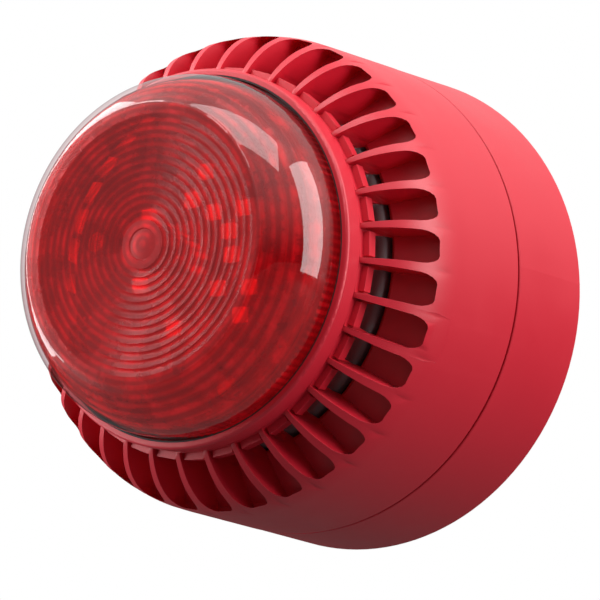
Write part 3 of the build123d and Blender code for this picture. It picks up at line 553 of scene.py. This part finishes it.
def finish_piece(name, shape, body, slot, replaces, smooth=35):
    """Makes an object of a bmesh, shades it, dresses it, and lets it ride on a body."""
    bmesh.ops.remove_doubles(shape, verts=shape.verts, dist=WELD)
    bmesh.ops.recalc_face_normals(shape, faces=shape.faces)
    for face in shape.faces:
        face.smooth = True
    for edge in shape.edges:
        if len(edge.link_faces) == 2 and edge.calc_face_angle(0) > radians(smooth):
            edge.smooth = False
    mesh = bpy.data.meshes.new(name)
    shape.to_mesh(mesh)
    shape.free()
    piece = bpy.data.objects.new(name, mesh)
    scene.collection.objects.link(piece)
    mesh.materials.append(FINISHES[slot])
    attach(piece, body)
    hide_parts(*replaces)
    print(f"{name}: {len(mesh.polygons)} faces")
    return piece


def turn(outline, steps):
    """A bmesh turned from a closed outline in mm about the object's axis."""
    shape = bmesh.new()
    points = [shape.verts.new((r * MM, -d * MM, 0)) for r, d in outline]
    edges = [shape.edges.new(pair) for pair in zip(points, points[1:])]
    edges.append(shape.edges.new((points[-1], points[0])))
    bmesh.ops.spin(
        shape, geom=points + edges, axis=(0, 1, 0), cent=(0, 0, 0), angle=2 * pi,
        steps=steps, use_merge=True,
    )
    bmesh.ops.remove_doubles(shape, verts=shape.verts, dist=WELD)
    return shape


# %% [markdown]
# ## Head shell
#
# The shell's shoulder carries 36 slots cut straight along the axis, so each rib shows a
# deep side wall and a thin bright rounded edge.  A boolean would leave ragged faces on
# the curved shoulder.  Instead a sector of one slot is laid out flat as two matching
# loops, the slot's outline and the sector's border.  The strip between them is lifted
# onto the shoulder's arc, given its slot walls and its underside, and then repeated
# round the axis.  A sloping ring, the shelf, lies below the slots and hides the inside,
# and a small foot stands in each slot by the collar.  A Bevel modifier rounds the edges.

# %% Shell dimensions, in mm
shell_low, shell_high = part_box("head_shell")
SHELL_REAR = -shell_high.y / MM
COLLAR_TOP = -shell_low.y / MM
SEAM_R, SEAM_EDGE = shell_high.z / MM, 0.15
SHOULDER_R, SHOULDER_DEPTH, SHOULDER_ARC = 46.1, 43.5, 17.1
COLLAR_R, COLLAR_INNER = 35.5, 33.6
RIB_BOTTOM, COLLAR_REAR, SLOT_FLOOR, RIB_WALL, BORE_R = 51.2, 56.0, 46.0, 2.4, 45.0
SHELF_R, SHELF_TOP, SHELF_LIP, SHELF_STEP, SHELF_THICK = 36.0, 49.4, 0.6, 0.4, 1.6
RIB_SUNK = 0.5
SLOTS, SLOT_PHASE = 36, -1.6
SLOT_INNER_HALF, SLOT_OUTER_HALF, SLOT_OUTER_R, SLOT_CORNER = 2.65, 3.0, 45.4, 1.6
SHELF_OUTER_R = SLOT_OUTER_R - 1.1
SHOULDER_MID = SHOULDER_R - SHOULDER_ARC
print("shell from", round(SHELL_REAR, 2), "to", round(COLLAR_TOP, 2), "radius", round(SEAM_R, 2))


def arc_height(radius, arc_radius):
    """Depth at a radius on an arc about the shoulder's centre, or the arc's foot past it."""
    return SHOULDER_DEPTH + sqrt(max(0.0, arc_radius**2 - (radius - SHOULDER_MID) ** 2))


def top_depth(radius):
    """Depth of the outside: the shoulder's arc, cut flat where it meets the collar."""
    return min(COLLAR_TOP, arc_height(radius, SHOULDER_ARC))


def under_depth(radius):
    """Depth of a rib's underside: level by the collar, then sunk in the sloping floor."""
    if radius < SHELF_R:
        return RIB_BOTTOM
    along = (radius - SHELF_R) / (SHELF_OUTER_R - SHELF_R)
    return max(SLOT_FLOOR, SHELF_TOP - RIB_SUNK + (SLOT_FLOOR - SHELF_TOP) * along)


# %% Lay out one sector as two loops with matching points
SIDE_STEPS, CORNER_STEPS, END_STEPS, COLLAR_STEPS = 14, 4, 2, 8
HALF_TURN = pi / SLOTS
STRIP_SHARES = (0.0, 0.7, 1.0)


def mirrored(lower, middle_point, inner):
    """Closes a loop: its lower half, its outer middle, its upper half, its inner edge."""
    return lower + [middle_point] + [(x, -z) for x, z in reversed(lower)] + inner


def slot_outline():
    """One slot's outline about +X: along its lower side, round its end and back."""
    run = SLOT_OUTER_R - SLOT_CORNER - COLLAR_R
    widen = SLOT_OUTER_HALF - SLOT_INNER_HALF
    flat_half = SLOT_OUTER_HALF - SLOT_CORNER
    lower = [
        (COLLAR_R + run * step / SIDE_STEPS, -SLOT_INNER_HALF - widen * step / SIDE_STEPS)
        for step in range(SIDE_STEPS + 1)
    ]
    for step in range(1, CORNER_STEPS + 1):
        turned = pi / 2 * step / CORNER_STEPS
        lower.append((COLLAR_R + run + SLOT_CORNER * sin(turned), -flat_half - SLOT_CORNER * cos(turned)))
    for step in range(1, END_STEPS):
        lower.append((SLOT_OUTER_R, -flat_half * (1 - step / END_STEPS)))
    inner = [(COLLAR_R, SLOT_INNER_HALF * (1 - 2 * step / COLLAR_STEPS)) for step in range(1, COLLAR_STEPS)]
    return mirrored(lower, (SLOT_OUTER_R, 0.0), inner)


def sector_border():
    """The sector's border, with one point for each point of the slot's outline."""
    side = SIDE_STEPS + CORNER_STEPS // 2
    rim = CORNER_STEPS - CORNER_STEPS // 2 + END_STEPS
    lower = [
        (COLLAR_INNER + (SHOULDER_R - COLLAR_INNER) * step / side, -HALF_TURN) for step in range(side + 1)
    ]
    lower += [(SHOULDER_R, -HALF_TURN * (1 - step / rim)) for step in range(1, rim)]
    inner = [(COLLAR_INNER, HALF_TURN * (1 - 2 * step / COLLAR_STEPS)) for step in range(1, COLLAR_STEPS)]
    border = mirrored(lower, (SHOULDER_R, 0.0), inner)
    return [(radius * cos(angle), radius * sin(angle)) for radius, angle in border]


slot_points, border_points = slot_outline(), sector_border()
print("loops of", len(slot_points), "and", len(border_points), "points")

# %% Lift the strip between the loops onto the shoulder
sector = bmesh.new()


def raised(points, depth_of):
    """Vertices over flat points, each at the depth its radius calls for."""
    return [sector.verts.new((x * MM, -depth_of(sqrt(x * x + z * z)) * MM, z * MM)) for x, z in points]


def strip(first, second, closed=False):
    """Quads between two chains of vertices with matching points."""
    last = len(first) if closed else len(first) - 1
    for k in range(last):
        n = (k + 1) % len(first)
        sector.faces.new((first[k], first[n], second[n], second[k]))


loops = []
for share in STRIP_SHARES:
    between = [
        (x + (far_x - x) * share, z + (far_z - z) * share)
        for (x, z), (far_x, far_z) in zip(slot_points, border_points)
    ]
    loops.append(raised(between, top_depth))
for near_loop, far_loop in zip(loops, loops[1:]):
    strip(near_loop, far_loop, closed=True)
slot_top, border_top = loops[0], loops[-1]
print("top skin:", len(sector.faces), "faces")

# %% Drop the slot's walls, its floor and the ribs' undersides
count = len(slot_points)
upper_outer = count - COLLAR_STEPS - SIDE_STEPS
under_chain = [k % count for k in range(upper_outer, count + SIDE_STEPS + 1)]
slot_low = []
for k, (x, z) in enumerate(slot_points):
    radius = sqrt(x * x + z * z)
    depth = under_depth(radius) if k in under_chain else SLOT_FLOOR
    if k > count - COLLAR_STEPS:
        depth = COLLAR_REAR
    slot_low.append(sector.verts.new((x * MM, -depth * MM, z * MM)))
strip(slot_top, slot_low, closed=True)
sector.faces.new(slot_low[SIDE_STEPS:upper_outer + 1])

rib_low = []
reach = sqrt(slot_points[SIDE_STEPS][0] ** 2 + slot_points[SIDE_STEPS][1] ** 2)
for k in under_chain:
    step = k if k <= SIDE_STEPS else count - COLLAR_STEPS - k
    along = max(0, step) / SIDE_STEPS
    radius = COLLAR_INNER + (reach - COLLAR_INNER) * along
    x, z = border_points[k]
    scale = radius / sqrt(x * x + z * z)
    depth = COLLAR_REAR if k > count - COLLAR_STEPS else under_depth(radius)
    rib_low.append(sector.verts.new((x * scale * MM, -depth * MM, z * scale * MM)))
strip([slot_low[k] for k in under_chain], rib_low)
bore_chain = range(SIDE_STEPS, SIDE_STEPS + COLLAR_STEPS + 1)
strip([border_top[under_chain[k]] for k in bore_chain], [rib_low[k] for k in bore_chain])
print("with walls and undersides:", len(sector.faces), "faces")

# %% Carry the inside and the outside down to the rear rim


def lowered(chain, radius, depth):
    """A copy of a chain at a radius and a depth, joined to it by quads."""
    copies = []
    for vert in chain:
        x, z = vert.co.x, vert.co.z
        scale = radius * MM / sqrt(x * x + z * z)
        copies.append(sector.verts.new((x * scale, -depth * MM, z * scale)))
    strip(chain, copies)
    return copies


wall_chain = [rib_low[-1], slot_low[SIDE_STEPS], slot_low[upper_outer], rib_low[0]]
wall_chain = lowered(wall_chain, SHOULDER_MID + SHOULDER_ARC - RIB_WALL, SHOULDER_DEPTH)
wall_chain = lowered(wall_chain, BORE_R, SHELL_REAR)
rim_from = SIDE_STEPS + CORNER_STEPS // 2
rim_chain = border_top[rim_from:count - COLLAR_STEPS + 1 - rim_from]
rim_chain = lowered(rim_chain, SHOULDER_R + 0.07, SHOULDER_DEPTH - 1)
rim_chain = lowered(rim_chain, SEAM_R, SHELL_REAR + SEAM_EDGE)
rim_chain = lowered(rim_chain, SEAM_R - SEAM_EDGE, SHELL_REAR)
print("chains of", len(wall_chain), "and", len(rim_chain), "points meet at the rear rim")

# %% Repeat the sector round the axis and close the rear rim
SECTOR_WELD, RIM_REACH = 0.004, 0.01
bmesh.ops.spin(
    sector, geom=sector.verts[:] + sector.edges[:] + sector.faces[:], axis=(0, 1, 0), cent=(0, 0, 0),
    angle=2 * pi * (SLOTS - 1) / SLOTS, steps=SLOTS - 1, use_duplicate=True,
)
bmesh.ops.remove_doubles(sector, verts=sector.verts, dist=SECTOR_WELD * MM)
bmesh.ops.rotate(
    sector, verts=sector.verts, cent=(0, 0, 0), matrix=Matrix.Rotation(-radians(SLOT_PHASE), 3, "Y"),
)
rear_edges = [
    edge for edge in sector.edges
    if edge.is_boundary and all(abs(vert.co.y + SHELL_REAR * MM) < RIM_REACH * MM for vert in edge.verts)
]
bmesh.ops.bridge_loops(sector, edges=rear_edges)
print("open edges left:", sum(edge.is_boundary for edge in sector.edges))

# %% Feet in the slots, and the screw bosses inside
FOOT_WIDTH, FOOT_TOP, FOOT_R, FOOT_ROOT = 4.4, 58.2, 36.8, 0.3
WEB_WIDTH, POST_SIDES, BOSS_ANGLES = 1.6, 32, (0, 120, 240)
BOSS_AT, BOSS_R, BOSS_FRONT, BOSS_REAR = 39.3, 2.6, 34.5, 24.6


def block(shape, size, centre, angle):
    """A box in mm, turned about the axis to an angle measured from +X towards +Z."""
    made = bmesh.ops.create_cube(shape, size=1.0)["verts"]
    bmesh.ops.scale(shape, verts=made, vec=[side * MM for side in size])
    bmesh.ops.translate(shape, verts=made, vec=[side * MM for side in centre])
    bmesh.ops.rotate(
        shape, verts=made, cent=(0, 0, 0), matrix=Matrix.Rotation(-radians(angle), 3, "Y"),
    )
    return made


foot_length, foot_height = FOOT_R - COLLAR_R + FOOT_ROOT, FOOT_TOP - COLLAR_REAR - 0.2
for slot in range(SLOTS):
    block(
        sector, (foot_length, foot_height, FOOT_WIDTH),
        (FOOT_R - foot_length / 2, -FOOT_TOP + foot_height / 2, 0), SLOT_PHASE + slot * 360 / SLOTS,
    )
boss_height = BOSS_FRONT - BOSS_REAR
for angle in BOSS_ANGLES:
    post = bmesh.ops.create_cone(
        sector, cap_ends=True, segments=POST_SIDES, radius1=BOSS_R * MM, radius2=BOSS_R * MM,
        depth=boss_height * MM,
    )["verts"]
    bmesh.ops.rotate(sector, verts=post, cent=(0, 0, 0), matrix=Matrix.Rotation(pi / 2, 3, "X"))
    bmesh.ops.translate(sector, verts=post, vec=(BOSS_AT * MM, -(BOSS_FRONT + BOSS_REAR) / 2 * MM, 0))
    bmesh.ops.rotate(
        sector, verts=post, cent=(0, 0, 0), matrix=Matrix.Rotation(-radians(angle), 3, "Y"),
    )
    block(
        sector, (BORE_R - BOSS_AT, boss_height, WEB_WIDTH),
        ((BORE_R + BOSS_AT) / 2, -(BOSS_FRONT + BOSS_REAR) / 2, 0), angle,
    )
shelf = [
    (SHELF_OUTER_R, SHOULDER_DEPTH), (SHELF_OUTER_R, SLOT_FLOOR),
    (SHELF_R + SHELF_LIP, SHELF_TOP), (SHELF_R, SHELF_TOP - SHELF_STEP), (SHELF_R, SHELF_TOP - SHELF_THICK),
    (SHOULDER_MID + SHOULDER_ARC - RIB_WALL, SHOULDER_DEPTH),
]
ledge = [sector.verts.new((r * MM, -d * MM, 0)) for r, d in shelf]
ledge_edges = [sector.edges.new(pair) for pair in zip(ledge, ledge[1:] + ledge[:1])]
bmesh.ops.spin(
    sector, geom=ledge + ledge_edges, axis=(0, 1, 0), cent=(0, 0, 0), angle=2 * pi, steps=180,
    use_merge=True,
)
print("feet:", SLOTS, "bosses:", len(BOSS_ANGLES), "and the sloping shelf below the slots")

# %% Make the shell and round its edges
RIB_ROUND, ROUND_FROM = 0.32, 40
shell = finish_piece("shell_moulding", sector, "head", "red_plastic", replaces=("head_shell",))
for edge in shell.data.edges:
    edge.use_edge_sharp = False
rounding = shell.modifiers.new("edge_rounding", "BEVEL")
rounding.width = RIB_ROUND * MM
rounding.segments = 3
rounding.limit_method = "ANGLE"
rounding.angle_limit = radians(ROUND_FROM)
rounding.harden_normals = True
print("shell edges rounded")

# %% [markdown]
# ## Clear cover and red inner lens
#
# Both layers are turned.  The cover is smooth, with a small round at the edge of its
# front disc.  The inner lens carries the pattern that catches the light: rings on its
# disc, steps down its shoulder, and fine upright flutes round its side wall.

# %% Turn the clear cover
LENS_R, LENS_SHOULDER_R, LENS_SHOULDER_DEPTH, LENS_ARC = 33.9, 33.6, 64.8, 13.4
DISC_R, DISC_TOP, LENS_WALL, INNER_GAP = 26.2, 77.0, 0.8, 0.2
FLANGE_R, FLANGE_REAR, FLANGE_FRONT = 34.9, 59.4, 60.9
SIDE_DRAFT, COVER_SIDE_TOP, COVER_STEPS = 0.1, 62.8, 192
LENS_MID = LENS_SHOULDER_R - LENS_ARC


def lens_arc(inset, edge_r, steps):
    """Shoulder points of a lens layer, from its side wall up to its disc's edge."""
    radius = LENS_ARC - inset
    turned = atan2(sqrt(radius**2 - (edge_r - LENS_MID) ** 2), edge_r - LENS_MID)
    return arc((LENS_MID, LENS_SHOULDER_DEPTH), radius, 0, turned * 180 / pi, steps)


cover_edge = DISC_R
inside_edge = DISC_R - LENS_WALL / 2
cover_outline = [
    (LENS_R - LENS_WALL, FLANGE_REAR), (FLANGE_R, FLANGE_REAR), (FLANGE_R, FLANGE_FRONT),
    (LENS_R, FLANGE_FRONT), (LENS_R - SIDE_DRAFT, COVER_SIDE_TOP),
]
cover_outline += lens_arc(0, cover_edge, 28)
cover_outline += [(cover_edge - 0.1, DISC_TOP - 0.1), (cover_edge - 0.35, DISC_TOP), (20.0, DISC_TOP)]
cover_outline += [(10.0, DISC_TOP), (0.0, DISC_TOP)]
under = DISC_TOP - LENS_WALL
inside = [(0.0, under), (15.0, under), (inside_edge - 0.4, under)]
inside += list(reversed(lens_arc(LENS_WALL, inside_edge, 20)))
cover = turn(cover_outline + inside, steps=COVER_STEPS)
finish_piece("clear_cover", cover, "head", "lens_clear", replaces=("lens_cover",), smooth=20)

# %% Turn the red inner lens with its rings, steps and flutes
GROOVES, GROOVE_PITCH, GROOVE_START, GROOVE_DEEP = 13, 1.5, 4.5, 0.5
SHOULDER_STEPS, STEP_DEEP = 9, 0.4
FLUTES, FLUTE_DEEP, FLUTE_TOP = 144, 0.22, 64.5
RED_REAR, RED_STRAIGHT, RED_SIDE_TOP = 59.2, 62.0, 64.4
layer = LENS_WALL + INNER_GAP
ring_top = DISC_TOP - layer
side_r = LENS_R - layer
edge_r = DISC_R - layer / 2
outline = [(side_r, RED_REAR), (side_r, RED_STRAIGHT), (side_r - SIDE_DRAFT, RED_SIDE_TOP)]
for k, (r, d) in enumerate(lens_arc(layer, edge_r, SHOULDER_STEPS)):
    if k:
        scale = 1 - STEP_DEEP / (LENS_ARC - layer)
        outline.append((
            LENS_MID + (r - LENS_MID) * scale,
            LENS_SHOULDER_DEPTH + (d - LENS_SHOULDER_DEPTH) * scale,
        ))
    outline.append((r, d))
for ring in range(GROOVES, 0, -1):
    peak_r = GROOVE_START + ring * GROOVE_PITCH
    if peak_r < edge_r - 0.3:
        outline.append((peak_r, ring_top))
    outline.append((peak_r - GROOVE_PITCH + 0.1, ring_top - GROOVE_DEEP))
outline += [(GROOVE_START, ring_top), (3.0, ring_top), (2.8, ring_top - 0.25), (0.0, ring_top - 0.05)]
back_edge = edge_r - LENS_WALL / 2
outline += [(0.0, ring_top - LENS_WALL), (back_edge, ring_top - LENS_WALL)]
outline += list(reversed(lens_arc(layer + LENS_WALL, back_edge, 10)))
outline += [(side_r - LENS_WALL, RED_REAR)]
red = turn(outline, steps=2 * FLUTES)
for vert in red.verts:
    radius, depth = sqrt(vert.co.x**2 + vert.co.z**2), -vert.co.y
    turned = atan2(vert.co.z, vert.co.x) * FLUTES / pi
    if radius > (side_r - 0.15) * MM and depth < FLUTE_TOP * MM and round(turned) % 2:
        scale = 1 - FLUTE_DEEP * MM / radius
        vert.co.x *= scale
        vert.co.z *= scale
finish_piece("red_inner_lens", red, "head", "lens_red", replaces=("inner_lens",), smooth=12)
